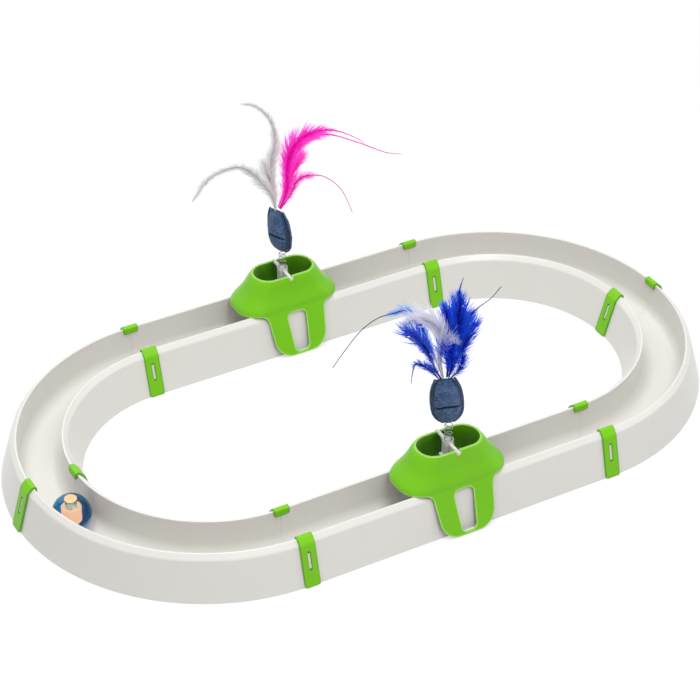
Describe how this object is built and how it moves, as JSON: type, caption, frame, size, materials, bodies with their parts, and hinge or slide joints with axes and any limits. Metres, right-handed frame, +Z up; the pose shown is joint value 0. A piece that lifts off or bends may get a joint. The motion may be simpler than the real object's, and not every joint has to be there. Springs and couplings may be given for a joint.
{
  "type": "cat ball track toy",
  "caption": "Oval cat toy: a clipped-together channel track for a light-up ball, with hooded rockers that wag denim pods and feathers on springs.",
  "frame": {"origin": "centre of the oval track on the floor", "axes": "+X along the straights, +Y across the oval away from the front straight, +Z up"},
  "size_m": [0.7872, 0.4476, 0.2912],
  "materials": {
    "white_plastic": "gloss",
    "clip_plastic": "satin",
    "cover_plastic": "gloss",
    "rocker_plastic": "satin",
    "slug_steel": "satin",
    "spring_steel": "polished",
    "denim": "matte",
    "blue_feather": "matte",
    "pink_feather": "matte",
    "white_feather": "matte",
    "ball_plastic": "polished",
    "light_plastic": "gloss",
    "board": "satin",
    "cell_steel": "polished",
    "lamp": "polished",
    "switch_brass": "satin"
  },
  "bodies": {
    "track": {"curve_track_front_left": "white_plastic", "curve_track_front_right": "white_plastic", "curve_track_rear_left": "white_plastic", "curve_track_rear_right": "white_plastic", "feather_cover_front": "cover_plastic", "feather_cover_rear": "cover_plastic", "inner_clip_front_left": "clip_plastic", "inner_clip_front_right": "clip_plastic", "inner_clip_left_end": "clip_plastic", "inner_clip_rear_left": "clip_plastic", "inner_clip_rear_right": "clip_plastic", "inner_clip_right_end": "clip_plastic", "outer_clip_front_left": "clip_plastic", "outer_clip_front_right": "clip_plastic", "outer_clip_left_end": "clip_plastic", "outer_clip_rear_left": "clip_plastic", "outer_clip_rear_right": "clip_plastic", "outer_clip_right_end": "clip_plastic", "straight_track_front": "white_plastic", "straight_track_rear": "white_plastic"},
    "rocker_front": {"rocker_front": "rocker_plastic", "counterweight_front": "slug_steel", "spring_front": "spring_steel"},
    "pod_front": {"blue_feathers_front": "blue_feather", "pod_front": "denim", "white_feathers_front": "white_feather"},
    "rocker_rear": {"rocker_rear": "rocker_plastic", "counterweight_rear": "slug_steel", "spring_rear": "spring_steel"},
    "pod_rear": {"pink_feathers_rear": "pink_feather", "pod_rear": "denim", "white_feathers_rear": "white_feather"},
    "ball": {"ball_shell_lower": "ball_plastic", "ball_shell_upper": "ball_plastic", "light_case": "light_plastic", "light_case_lid": "light_plastic", "circuit_board": "board", "button_cells": "cell_steel", "led_lamp": "lamp", "motion_switch": "switch_brass"}
  },
  "joints": [
    {"name": "front_rocker_swing", "type": "hinge", "parent": "track", "child": "rocker_front", "pos_m": [0, -0.175, 0.0816], "axis": [0, 1, 0], "range_deg": [-40, 40]},
    {"name": "front_pod_sway", "type": "hinge", "parent": "rocker_front", "child": "pod_front", "pos_m": [0, -0.175, 0.09425], "axis": [1, 0, 0], "range_deg": [-20, 20], "stiffness_Nm_per_rad": 0.09, "deforming": ["spring_front"]},
    {"name": "rear_rocker_swing", "type": "hinge", "parent": "track", "child": "rocker_rear", "pos_m": [0, 0.175, 0.0816], "axis": [0, 1, 0], "range_deg": [-40, 40]},
    {"name": "rear_pod_sway", "type": "hinge", "parent": "rocker_rear", "child": "pod_rear", "pos_m": [0, 0.175, 0.09425], "axis": [1, 0, 0], "range_deg": [-20, 20], "stiffness_Nm_per_rad": 0.09, "deforming": ["spring_rear"]},
    {"name": "ball_roll", "type": "hinge", "parent": "track", "child": "ball", "pos_m": [-0.175, 0, 0], "axis": [0, 0, 1], "range_deg": [-101.5, 78.5]}
  ]
}
